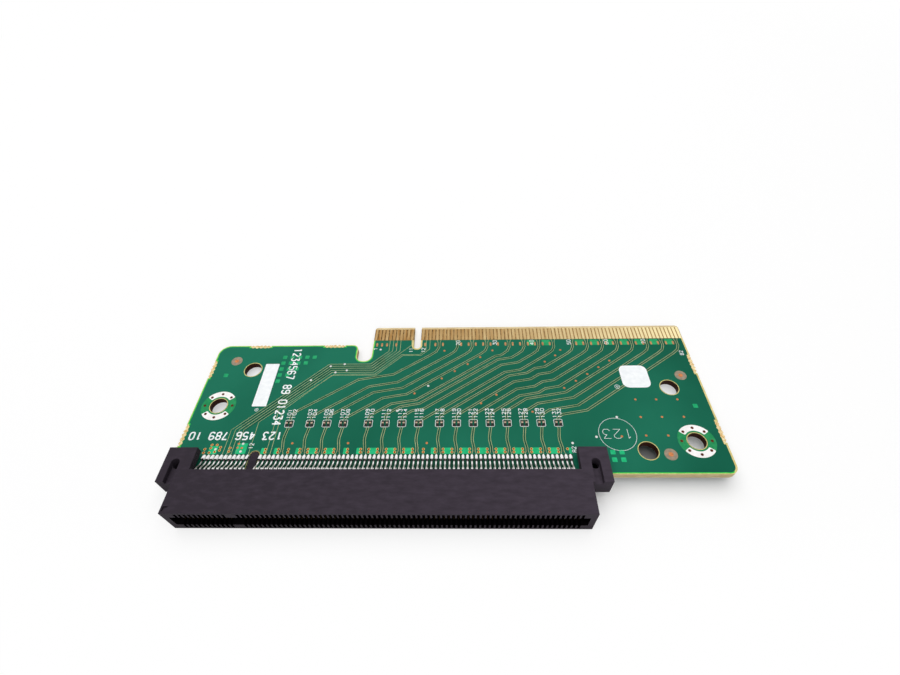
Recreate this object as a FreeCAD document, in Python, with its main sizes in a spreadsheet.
import FreeCAD, Part
import os
import Sketcher

# A server riser card: a circuit board with a card edge on its far side and a straddle-mount slot
# connector on its near side. It lies flat, component side up. X runs along the board, +Y points to the
# card edge and +Z is up. The origin is under the middle of the whole card, on the housing's underside.

SIZES = (
    # Board outline
    ("board_length", 126.0, "board along X"),
    ("board_depth", 37.9, "near edge to shoulder"),
    ("board_thick", 1.6, "laminate thickness"),
    ("near_radius", 2.0, "near corners"),
    ("far_radius", 3.0, "far left corner"),
    ("shoulder_radius", 1.5, "shoulder beside the relief gap"),
    ("relief_wide", 4.0, "gap beside the tab"),
    ("relief_deep", 5.7, "gap below the shoulder"),
    ("relief_radius", 1.8, "corners of the gap's floor"),
    # Card edge tab
    ("tab_reach", 6.8, "tab beyond the shoulder"),
    ("tab_margin", 0.5, "outer finger's middle to the tab's side"),
    ("tab_chamfer", 0.5, "corners of the tab's tip"),
    ("bevel_long", 1.1, "bevel along the tab"),
    ("bevel_deep", 0.45, "bevel into the thickness"),
    ("key_wide", 1.95, "key notch"),
    ("key_deep", 8.2, "key notch from the tip"),
    ("finger_wide", 0.7, "gold finger"),
    ("finger_long", 4.1, "gold finger behind the bevel"),
    ("plating", 0.05, "gold finger above the laminate"),
    # Contact row, the same on the tab and in the slot
    ("contact_pitch", 1.0, "middle to middle"),
    ("short_bank", 11, "contacts before the key"),
    ("long_bank", 71, "contacts after the key"),
    ("key_span", 3.0, "last short-bank to first long-bank contact"),
    # Holes in the board
    ("screw_hole", 4.2, "screw hole diameter"),
    ("screw_left_x", 5.86, "left screw hole from the left edge"),
    ("screw_left_y", 18.23, "left screw hole from the near edge"),
    ("screw_right_x", 6.59, "right screw hole from the right edge"),
    ("screw_right_y", 8.07, "right screw hole from the near edge"),
    ("guide_hole", 4.4, "guide hole diameter"),
    ("guide_left_x", 11.2, "left guide hole from the left edge"),
    ("guide_left_y", 29.5, "left guide hole from the near edge"),
    ("guide_far_x", 8.35, "far guide hole from the right edge"),
    ("guide_far_y", 23.1, "far guide hole from the near edge"),
    ("guide_near_x", 18.1, "near guide hole from the right edge"),
    ("guide_near_y", 5.65, "near guide hole from the near edge"),
    # Remnants of the breakaway bridges
    ("bridge_long", 5.6, "along the edge"),
    ("bridge_deep", 0.4, "into the board"),
    ("bridge_left_near", 9.93, "left edge, from the near edge"),
    ("bridge_left_far", 29.66, "left edge, from the near edge"),
    ("bridge_right_near", 10.43, "right edge, from the near edge"),
    ("bridge_right_far", 30.4, "right edge, from the near edge"),
    ("bridge_shoulder_left", 11.1, "shoulder, from the left edge"),
    ("bridge_shoulder_right", 31.55, "shoulder, from the left edge"),
    # Connector housing
    ("connector_inset", 48.8, "left edge to the middle of the slot"),
    ("housing_depth", 9.75, "front face to back face"),
    ("housing_thick", 7.8, "underside to top"),
    ("board_gap", 0.3, "back face to the board's near edge"),
    ("end_wall", 2.1, "solid wall at each end of the slot"),
    ("slot_margin", 0.9, "outer contact's middle to the slot's end"),
    ("slot_high", 1.9, "slot for the card"),
    ("slot_deep", 7.6, "slot from the front face"),
    ("key_clearance", 0.17, "key rib to each side of a card's key notch"),
    ("cavity_reach", 3.4, "cavity roof from the mid-plane"),
    # Ears over the board
    ("ear_out_left", 3.68, "left ear beyond the housing's end"),
    ("ear_out_right", 4.45, "right ear beyond the housing's end"),
    ("ear_wide", 6.3, "ear along X"),
    ("ear_back", 5.3, "ear behind the back face"),
    ("ear_front", 2.87, "ear in front of the back face"),
    ("ear_seat", 0.05, "ear above the board"),
    ("ear_drop", 0.35, "ear below the board's underside"),
    ("ear_step_wide", 1.4, "step under the ear's inner corner"),
    ("ear_step_high", 0.95, "step under the ear's inner corner"),
    ("ear_relief_wide", 1.0, "relief under the ear's inner edge"),
    ("ear_relief_high", 1.2, "relief under the ear's inner edge"),
    ("lock_offset_left", 0.1, "housing's end to the left lock channel"),
    ("lock_offset_right", 0.5, "housing's end to the right lock channel"),
    ("lock_wide", 1.9, "lock channel and hole"),
    ("lock_deep", 1.2, "lock channel below the top"),
    ("lock_inset", 3.7, "hole's middle from the ear's back"),
    # Locating rib in the board's notch
    ("rib_wide", 1.8, "rib along X"),
    ("rib_clearance", 0.2, "rib to each wall of the notch"),
    ("notch_reach", 5.7, "notch from the near edge"),
    # Mark beside the first contact
    ("mark_inset", 0.35, "mark from the front face and the housing's end"),
    ("mark_size", 1.2, "side of the mark"),
    ("mark_deep", 0.4, "mark below the top"),
    # Formed contacts
    ("contact_wide", 0.4, "strip width"),
    ("contact_thick", 0.2, "strip thickness"),
    ("cavity_clearance", 0.1, "strip to each wall of its cavity"),
    ("roof_clearance", 0.95, "strip's bend to the cavity roof"),
    ("foot_reach", 4.73, "foot's tip from the near edge"),
    ("foot_long", 1.4, "foot on its pad"),
    ("bend_inset", 0.7, "bend in front of the back face"),
    ("apex_inset", 2.15, "contact point behind the front face"),
    ("apex_gap", 1.3, "between facing contact points"),
    ("tip_inset", 0.9, "beam's tip behind the front face"),
    ("tip_lift", 0.5, "beam's tip above the contact point"),
    # Chip capacitors
    ("chip_long", 1.0, "along Y"),
    ("chip_wide", 0.5, "along X"),
    ("chip_high", 0.5, "above the board"),
    ("chip_setback", 12.9, "chip's middle from the near edge"),
)

# First contact of the sixteen signal pairs that pass through a pair of capacitors
PAIR_CONTACTS = (16, 21, 25, 29, 35, 39, 43, 47, 52, 56, 60, 64, 68, 72, 76, 80)

# Where edges and planes count as meeting
TOUCH = 1e-6

doc = FreeCAD.newDocument("riser_card")
sheet = doc.addObject("Spreadsheet::Sheet", "Sizes")
for row, (alias, value, meaning) in enumerate(SIZES, start=1):
    sheet.set(f"A{row}", meaning)
    sheet.set(f"B{row}", str(value))
    sheet.setAlias(f"B{row}", alias)
doc.recompute()

# Reference lines and planes of the whole card
ROW_LENGTH = "((Sizes.short_bank + Sizes.long_bank - 2) * Sizes.contact_pitch + Sizes.key_span)"
TOTAL_DEPTH = "(Sizes.housing_depth + Sizes.board_gap + Sizes.board_depth + Sizes.tab_reach)"
FRONT_FACE = f"(-{TOTAL_DEPTH} / 2)"
BACK_FACE = f"({FRONT_FACE} + Sizes.housing_depth)"
NEAR_EDGE = f"({BACK_FACE} + Sizes.board_gap)"
SHOULDER = f"({NEAR_EDGE} + Sizes.board_depth)"
TIP = f"({SHOULDER} + Sizes.tab_reach)"
LEFT_EDGE = "(-Sizes.board_length / 2)"
RIGHT_EDGE = "(Sizes.board_length / 2)"
TAB_LENGTH = f"({ROW_LENGTH} + 2 * Sizes.tab_margin)"
TAB_LEFT = f"({RIGHT_EDGE} - {TAB_LENGTH})"
TAB_FIRST = f"({TAB_LEFT} + Sizes.tab_margin)"
MID_PLANE = "(Sizes.housing_thick / 2)"
BOARD_TOP = f"({MID_PLANE} + Sizes.board_thick / 2)"
BOARD_UNDER = f"({MID_PLANE} - Sizes.board_thick / 2)"
SLOT_MIDDLE = f"({LEFT_EDGE} + Sizes.connector_inset)"
SLOT_FIRST = f"({SLOT_MIDDLE} - {ROW_LENGTH} / 2)"
SLOT_END = f"({ROW_LENGTH} / 2 + Sizes.slot_margin)"
HOUSING_END = f"({SLOT_END} + Sizes.end_wall)"
SHORT_BANK_SPAN = "((Sizes.short_bank - 1) * Sizes.contact_pitch)"
TAB_KEY = f"({TAB_FIRST} + {SHORT_BANK_SPAN} + Sizes.key_span / 2)"
TAB_SECOND = f"({TAB_FIRST} + {SHORT_BANK_SPAN} + Sizes.key_span)"
SLOT_KEY = f"({SLOT_FIRST} + {SHORT_BANK_SPAN} + Sizes.key_span / 2)"
SLOT_SECOND = f"({SLOT_FIRST} + {SHORT_BANK_SPAN} + Sizes.key_span)"


def number(expression):
    """Value of an expression on the sheet."""
    return float(sheet.evalExpression(expression))


def origin_feature(body, role):
    """Axis or plane of a body's own origin."""
    return next(item for item in body.Origin.OriginFeatures if item.Role == role)


def new_body(label):
    """Empty body whose label names its file."""
    body = doc.addObject("PartDesign::Body", label)
    body.Label = label
    return body


def sketch_on(body, name, role, height):
    """Sketch parallel to one of the body's origin planes, at a height along its normal."""
    sketch = body.newObject("Sketcher::SketchObject", name)
    sketch.AttachmentSupport = [(origin_feature(body, role), "")]
    sketch.MapMode = "FlatFace"
    sketch.setExpression("AttachmentOffset.Base.z", height)
    return sketch


def hold_point(sketch, geometry, point, x, y):
    """Two dimensions from the sketch's origin to a point."""
    for kind, expression in (("DistanceX", x), ("DistanceY", y)):
        constraint = Sketcher.Constraint(kind, -1, 1, geometry, point, number(expression))
        index = sketch.addConstraint(constraint)
        sketch.setExpression(f"Constraints[{index}]", expression)


def add_polygon(sketch, corners):
    """Closed outline of straight sides through the corners."""
    points = [FreeCAD.Vector(number(x), number(y), 0) for x, y in corners]
    first = sketch.GeometryCount
    count = len(points)
    for start, end in zip(points, points[1:] + points[:1]):
        sketch.addGeometry(Part.LineSegment(start, end))
    for index in range(count):
        following = first + (index + 1) % count
        sketch.addConstraint(Sketcher.Constraint("Coincident", first + index, 2, following, 1))
    for index, (x, y) in enumerate(corners):
        hold_point(sketch, first + index, 1, x, y)


def add_rectangle(sketch, left, right, low, high):
    """Upright rectangle between two pairs of lines."""
    add_polygon(sketch, ((left, low), (right, low), (right, high), (left, high)))


def add_circle(sketch, x, y, radius):
    """Circle with its middle and radius held."""
    middle = FreeCAD.Vector(number(x), number(y), 0)
    index = sketch.addGeometry(Part.Circle(middle, FreeCAD.Vector(0, 0, 1), number(radius)))
    hold_point(sketch, index, 3, x, y)
    size = sketch.addConstraint(Sketcher.Constraint("Radius", index, number(radius)))
    sketch.setExpression(f"Constraints[{size}]", radius)


def pad(body, name, sketch, length):
    """Solid raised along the sketch's normal."""
    feature = body.newObject("PartDesign::Pad", name)
    feature.Profile = sketch
    feature.setExpression("Length", length)
    return feature


def pocket(body, name, sketch, depth):
    """Cut against the sketch's normal, which has to take material away."""
    doc.recompute()
    before = body.Shape.Volume
    feature = body.newObject("PartDesign::Pocket", name)
    feature.Profile = sketch
    feature.setExpression("Length", depth)
    doc.recompute()
    if body.Shape.Volume >= before:
        raise RuntimeError(f"{body.Label}: {name} cut nothing")
    return feature


def row_along_x(body, name, original, count):
    """Copies of a feature at the contact pitch."""
    pattern = body.newObject("PartDesign::LinearPattern", name)
    pattern.Originals = [original]
    pattern.Direction = (origin_feature(body, "X_Axis"), [""])
    pattern.Mode = "Spacing"
    pattern.setExpression("Offset", "Sizes.contact_pitch")
    pattern.setExpression("Occurrences", count)
    body.Tip = pattern
    return pattern


def ease_uprights(body, name, corners, kind, size):
    """Fillet or chamfer on the upright edges that stand at the corners."""
    doc.recompute()
    base = body.Tip
    spots = [FreeCAD.Vector(number(x), number(y), 0) for x, y in corners]
    names = []
    for index, edge in enumerate(base.Shape.Edges, start=1):
        foot = edge.Vertexes[0].Point
        head = edge.Vertexes[-1].Point
        upright = abs(foot.x - head.x) < TOUCH and abs(foot.y - head.y) < TOUCH
        spot = FreeCAD.Vector(foot.x, foot.y, 0)
        if upright and any(spot.distanceToPoint(corner) < TOUCH for corner in spots):
            names.append(f"Edge{index}")
    if len(names) != len(corners):
        raise RuntimeError(f"{name}: {len(names)} edges for {len(corners)} corners")
    eased = body.newObject(f"PartDesign::{kind}", name)
    eased.Base = (base, names)
    eased.setExpression("Radius" if kind == "Fillet" else "Size", size)


def contact_x(contact):
    """X of a contact in the slot, counted from 1 at the left."""
    if contact <= int(number("Sizes.short_bank")):
        return f"({SLOT_FIRST} + {contact - 1} * Sizes.contact_pitch)"
    return f"({SLOT_FIRST} + Sizes.key_span + {contact - 2} * Sizes.contact_pitch)"


def rout(body, name, x, wide, low, high):
    """Notch cut through the board along Y, round at the end that lies inside the board."""
    run = sketch_on(body, f"{name}_run", "XY_Plane", BOARD_TOP)
    add_rectangle(run, f"({x} - {wide} / 2)", f"({x} + {wide} / 2)", low, high)
    pocket(body, f"{name}_cut", run, "Sizes.board_thick")
    end = sketch_on(body, f"{name}_end", "XY_Plane", BOARD_TOP)
    add_circle(end, x, low if high == TIP else high, f"({wide} / 2)")
    pocket(body, f"{name}_round", end, "Sizes.board_thick")


def make_board():
    """Laminate with its tab, notches, holes and breakaway remnants."""
    body = new_body("board")
    relief_left = f"({TAB_LEFT} - Sizes.relief_wide)"
    relief_floor = f"({SHOULDER} - Sizes.relief_deep)"
    outline = sketch_on(body, "board_outline", "XY_Plane", BOARD_UNDER)
    corners = (
        (LEFT_EDGE, NEAR_EDGE),
        (RIGHT_EDGE, NEAR_EDGE),
        (RIGHT_EDGE, TIP),
        (TAB_LEFT, TIP),
        (TAB_LEFT, relief_floor),
        (relief_left, relief_floor),
        (relief_left, SHOULDER),
        (LEFT_EDGE, SHOULDER),
    )
    add_polygon(outline, corners)
    pad(body, "board_sheet", outline, "Sizes.board_thick")
    ease_uprights(body, "near_corners", corners[0:2], "Fillet", "Sizes.near_radius")
    ease_uprights(body, "tab_corners", corners[2:4], "Chamfer", "Sizes.tab_chamfer")
    ease_uprights(body, "relief_corners", corners[4:6], "Fillet", "Sizes.relief_radius")
    ease_uprights(body, "shoulder_corner", corners[6:7], "Fillet", "Sizes.shoulder_radius")
    ease_uprights(body, "far_corner", corners[7:8], "Fillet", "Sizes.far_radius")

    # Both faces of the tab slope to its tip, so that it slides into a slot
    bevel = sketch_on(body, "bevel_section", "YZ_Plane", RIGHT_EDGE)
    bevel_start = f"({TIP} - Sizes.bevel_long)"
    for face, inward in ((BOARD_TOP, "-"), (BOARD_UNDER, "+")):
        add_polygon(bevel, ((bevel_start, face), (TIP, f"({face} {inward} Sizes.bevel_deep)"), (TIP, face)))
    pocket(body, "tab_bevel", bevel, TAB_LENGTH)

    # Key notch in the tab and the connector's notch in the near edge, both routed with a round end
    key_end = f"({TIP} - Sizes.key_deep + Sizes.key_wide / 2)"
    rout(body, "key_notch", TAB_KEY, "Sizes.key_wide", key_end, TIP)
    notch_wide = "(Sizes.rib_wide + 2 * Sizes.rib_clearance)"
    notch_end = f"({NEAR_EDGE} + Sizes.notch_reach - {notch_wide} / 2)"
    rout(body, "connector_notch", SLOT_KEY, notch_wide, NEAR_EDGE, notch_end)

    # Two screw holes and three guide holes
    holes = sketch_on(body, "hole_layout", "XY_Plane", BOARD_TOP)
    for side, edge, sign in (("left", LEFT_EDGE, "+"), ("right", RIGHT_EDGE, "-")):
        x = f"({edge} {sign} Sizes.screw_{side}_x)"
        add_circle(holes, x, f"({NEAR_EDGE} + Sizes.screw_{side}_y)", "(Sizes.screw_hole / 2)")
    for spot, edge, sign in (("left", LEFT_EDGE, "+"), ("far", RIGHT_EDGE, "-"), ("near", RIGHT_EDGE, "-")):
        x = f"({edge} {sign} Sizes.guide_{spot}_x)"
        add_circle(holes, x, f"({NEAR_EDGE} + Sizes.guide_{spot}_y)", "(Sizes.guide_hole / 2)")
    pocket(body, "holes", holes, "Sizes.board_thick")

    # Shallow recesses where the bridges to the panel were broken away
    bridges = sketch_on(body, "bridge_layout", "XY_Plane", BOARD_TOP)
    half = "Sizes.bridge_long / 2"
    for name in ("left_near", "left_far", "right_near", "right_far"):
        middle = f"({NEAR_EDGE} + Sizes.bridge_{name})"
        sides = (LEFT_EDGE, f"({LEFT_EDGE} + Sizes.bridge_deep)")
        if name.startswith("right"):
            sides = (f"({RIGHT_EDGE} - Sizes.bridge_deep)", RIGHT_EDGE)
        add_rectangle(bridges, *sides, f"({middle} - {half})", f"({middle} + {half})")
    for name in ("shoulder_left", "shoulder_right"):
        middle = f"({LEFT_EDGE} + Sizes.bridge_{name})"
        floor = f"({SHOULDER} - Sizes.bridge_deep)"
        add_rectangle(bridges, f"({middle} - {half})", f"({middle} + {half})", floor, SHOULDER)
    pocket(body, "breakaway_bridges", bridges, "Sizes.board_thick")
    return body


def make_fingers(label, height):
    """Gold fingers on one face of the tab, in two banks beside the key notch."""
    body = new_body(label)
    low = f"({TIP} - Sizes.bevel_long - Sizes.finger_long)"
    high = f"({TIP} - Sizes.bevel_long)"
    for bank, x in (("short_bank", TAB_FIRST), ("long_bank", TAB_SECOND)):
        sketch = sketch_on(body, f"{label}_{bank}_outline", "XY_Plane", height)
        add_rectangle(sketch, f"({x} - Sizes.finger_wide / 2)", f"({x} + Sizes.finger_wide / 2)", low, high)
        finger = pad(body, f"{label}_{bank}_finger", sketch, "Sizes.plating")
        row_along_x(body, f"{label}_{bank}_row", finger, f"Sizes.{bank}")
    return body


def make_housing():
    """Moulded slot connector that straddles the board's near edge."""
    body = new_body("connector_housing")
    left = f"({SLOT_MIDDLE} - {HOUSING_END})"
    right = f"({SLOT_MIDDLE} + {HOUSING_END})"
    block = sketch_on(body, "housing_block_outline", "XY_Plane", "0")
    add_rectangle(block, left, right, FRONT_FACE, BACK_FACE)
    pad(body, "housing_block", block, "Sizes.housing_thick")

    # Ears: a block beside each end of the housing and a plate from it over the board
    ear_low = f"({BOARD_UNDER} - Sizes.ear_drop)"
    plate_low = f"({BOARD_TOP} + Sizes.ear_seat)"
    ear_front = f"({BACK_FACE} - Sizes.ear_front)"
    ear_back = f"({BACK_FACE} + Sizes.ear_back)"
    blocks = sketch_on(body, "ear_block_outline", "XY_Plane", ear_low)
    plates = sketch_on(body, "ear_plate_outline", "XY_Plane", plate_low)
    channels = sketch_on(body, "lock_channel_outline", "XY_Plane", "Sizes.housing_thick")
    lock_holes = sketch_on(body, "lock_hole_outline", "XY_Plane", "Sizes.housing_thick")
    steps = sketch_on(body, "ear_step_outline", "XY_Plane", f"({ear_low} + Sizes.ear_step_high)")
    reliefs = sketch_on(body, "ear_relief_outline", "XY_Plane", f"({plate_low} + Sizes.ear_relief_high)")
    lock_y = f"({ear_back} - Sizes.lock_inset)"
    for sign, side in (("-", "left"), ("+", "right")):
        end = f"({SLOT_MIDDLE} {sign} {HOUSING_END})"
        outer = f"({end} {sign} Sizes.ear_out_{side})"
        inner = f"({outer} {sign} -Sizes.ear_wide)"
        relief = f"({inner} {sign} Sizes.ear_relief_wide)"
        step = f"({end} {sign} Sizes.ear_step_wide)"
        lock_near = f"({end} {sign} Sizes.lock_offset_{side})"
        lock_x = f"({lock_near} {sign} Sizes.lock_wide / 2)"
        lock_far = f"({lock_near} {sign} Sizes.lock_wide)"
        add_rectangle(blocks, end, outer, ear_front, BACK_FACE)
        add_rectangle(plates, inner, outer, BACK_FACE, ear_back)
        add_rectangle(channels, lock_near, lock_far, ear_front, lock_y)
        add_circle(lock_holes, lock_x, lock_y, "(Sizes.lock_wide / 2)")
        add_rectangle(steps, end, step, ear_front, BACK_FACE)
        add_rectangle(reliefs, inner, relief, BACK_FACE, ear_back)
    pad(body, "ear_blocks", blocks, f"(Sizes.housing_thick - {ear_low})")
    pad(body, "ear_plates", plates, f"(Sizes.housing_thick - {plate_low})")
    pocket(body, "lock_channels", channels, "Sizes.lock_deep")
    pocket(body, "lock_holes", lock_holes, f"(Sizes.housing_thick - {plate_low})")
    pocket(body, "ear_steps", steps, "Sizes.ear_step_high")
    pocket(body, "ear_reliefs", reliefs, "Sizes.ear_relief_high")

    # Locating rib, flush with both faces of the board and round at its end
    rib_end = f"({NEAR_EDGE} + Sizes.notch_reach - Sizes.rib_clearance - Sizes.rib_wide / 2)"
    rib = sketch_on(body, "rib_outline", "XY_Plane", BOARD_UNDER)
    rib_left = f"({SLOT_KEY} - Sizes.rib_wide / 2)"
    rib_right = f"({SLOT_KEY} + Sizes.rib_wide / 2)"
    add_rectangle(rib, rib_left, rib_right, BACK_FACE, rib_end)
    pad(body, "locating_rib", rib, "Sizes.board_thick")
    rib_round = sketch_on(body, "rib_end_outline", "XY_Plane", BOARD_UNDER)
    add_circle(rib_round, SLOT_KEY, rib_end, "(Sizes.rib_wide / 2)")
    pad(body, "locating_rib_end", rib_round, "Sizes.board_thick")

    # Three-cornered mark moulded into the top beside the first contact
    mark = sketch_on(body, "mark_outline", "XY_Plane", "Sizes.housing_thick")
    mark_x = f"({left} + Sizes.mark_inset)"
    mark_y = f"({FRONT_FACE} + Sizes.mark_inset)"
    mark_top = f"({mark_y} + Sizes.mark_size)"
    add_polygon(mark, ((mark_x, mark_y), (f"({mark_x} + Sizes.mark_size)", mark_top), (mark_x, mark_top)))
    pocket(body, "first_contact_mark", mark, "Sizes.mark_deep")

    # Card slot from the front, in two runs with the key rib left between them
    front = f"(-{FRONT_FACE})"
    rib_half = "(Sizes.key_wide / 2 - Sizes.key_clearance)"
    slot_low = f"({MID_PLANE} - Sizes.slot_high / 2)"
    slot_top = f"({MID_PLANE} + Sizes.slot_high / 2)"
    slot = sketch_on(body, "slot_mouth", "XZ_Plane", front)
    add_rectangle(slot, f"({SLOT_MIDDLE} - {SLOT_END})", f"({SLOT_KEY} - {rib_half})", slot_low, slot_top)
    add_rectangle(slot, f"({SLOT_KEY} + {rib_half})", f"({SLOT_MIDDLE} + {SLOT_END})", slot_low, slot_top)
    pocket(body, "card_slot", slot, "Sizes.slot_deep")

    # Contact cavities, open from front to back so that the contacts load from behind
    cavity_half = "(Sizes.contact_wide / 2 + Sizes.cavity_clearance)"
    cavity_low = f"({MID_PLANE} - Sizes.cavity_reach)"
    cavity_top = f"({MID_PLANE} + Sizes.cavity_reach)"
    for bank, x in (("short_bank", SLOT_FIRST), ("long_bank", SLOT_SECOND)):
        cavity = sketch_on(body, f"{bank}_cavity_mouth", "XZ_Plane", front)
        add_rectangle(cavity, f"({x} - {cavity_half})", f"({x} + {cavity_half})", cavity_low, cavity_top)
        cut = pocket(body, f"{bank}_cavity", cavity, "Sizes.housing_depth")
        row_along_x(body, f"{bank}_cavities", cut, f"Sizes.{bank}")
    return body


def make_contacts(label, side, bank, first_x):
    """One bank of contacts on one side of the board: foot, ramp, bend and spring beam in one strip."""
    body = new_body(label)
    heel = f"({NEAR_EDGE} + Sizes.foot_reach - Sizes.foot_long)"
    bend = f"({BACK_FACE} - Sizes.bend_inset)"
    apex = f"({FRONT_FACE} + Sizes.apex_inset)"
    seat = "Sizes.board_thick / 2"
    roof = "(Sizes.cavity_reach - Sizes.roof_clearance)"
    point = "Sizes.apex_gap / 2"
    # Distance along Y and height from the board's mid-plane, along the inner side and back on the outer
    profile = (
        (f"({NEAR_EDGE} + Sizes.foot_reach)", seat),
        (heel, seat),
        (bend, f"({roof} - Sizes.contact_thick)"),
        (apex, point),
        (f"({FRONT_FACE} + Sizes.tip_inset)", f"({point} + Sizes.tip_lift)"),
        (apex, f"({point} + Sizes.contact_thick)"),
        (bend, roof),
        (heel, f"({seat} + Sizes.contact_thick)"),
    )
    sketch = sketch_on(body, f"{label}_profile", "YZ_Plane", f"({first_x} - Sizes.contact_wide / 2)")
    add_polygon(sketch, [(y, f"({MID_PLANE} {side} {height})") for y, height in profile])
    strip = pad(body, f"{label}_strip", sketch, "Sizes.contact_wide")
    row_along_x(body, f"{label}_row", strip, f"Sizes.{bank}")
    return body


def make_capacitor(label, contact):
    """Ceramic chip that lies on the board above its contact."""
    body = new_body(label)
    sketch = sketch_on(body, f"{label}_outline", "XY_Plane", BOARD_TOP)
    x = contact_x(contact)
    y = f"({NEAR_EDGE} + Sizes.chip_setback)"
    left = f"({x} - Sizes.chip_wide / 2)"
    right = f"({x} + Sizes.chip_wide / 2)"
    add_rectangle(sketch, left, right, f"({y} - Sizes.chip_long / 2)", f"({y} + Sizes.chip_long / 2)")
    pad(body, f"{label}_chip", sketch, "Sizes.chip_high")
    return body


bodies = [make_board(), make_housing()]
bodies.append(make_fingers("gold_fingers_top", BOARD_TOP))
bodies.append(make_fingers("gold_fingers_bottom", f"({BOARD_UNDER} - Sizes.plating)"))
for row_name, side in (("top", "+"), ("bottom", "-")):
    for bank, first_x in (("short_bank", SLOT_FIRST), ("long_bank", SLOT_SECOND)):
        bodies.append(make_contacts(f"{row_name}_contacts_{bank}", side, bank, first_x))
for pair, contact in enumerate(PAIR_CONTACTS, start=1):
    for letter, step in (("a", 0), ("b", 1)):
        bodies.append(make_capacitor(f"capacitor_{pair:02d}{letter}", contact + step))
doc.recompute()

# Nothing is written unless every object is sound
for item in doc.Objects:
    if "Invalid" in item.State or "Error" in item.State:
        raise RuntimeError(f"{item.Label} failed: {item.State}")
for body in bodies:
    if body.Shape.isNull() or not body.Shape.isValid() or not body.Shape.Solids:
        raise RuntimeError(f"{body.Label} is not a valid solid")

os.makedirs("parts", exist_ok=True)
for body in bodies:
    body.Shape.exportStep(f"parts/{body.Label}.step")
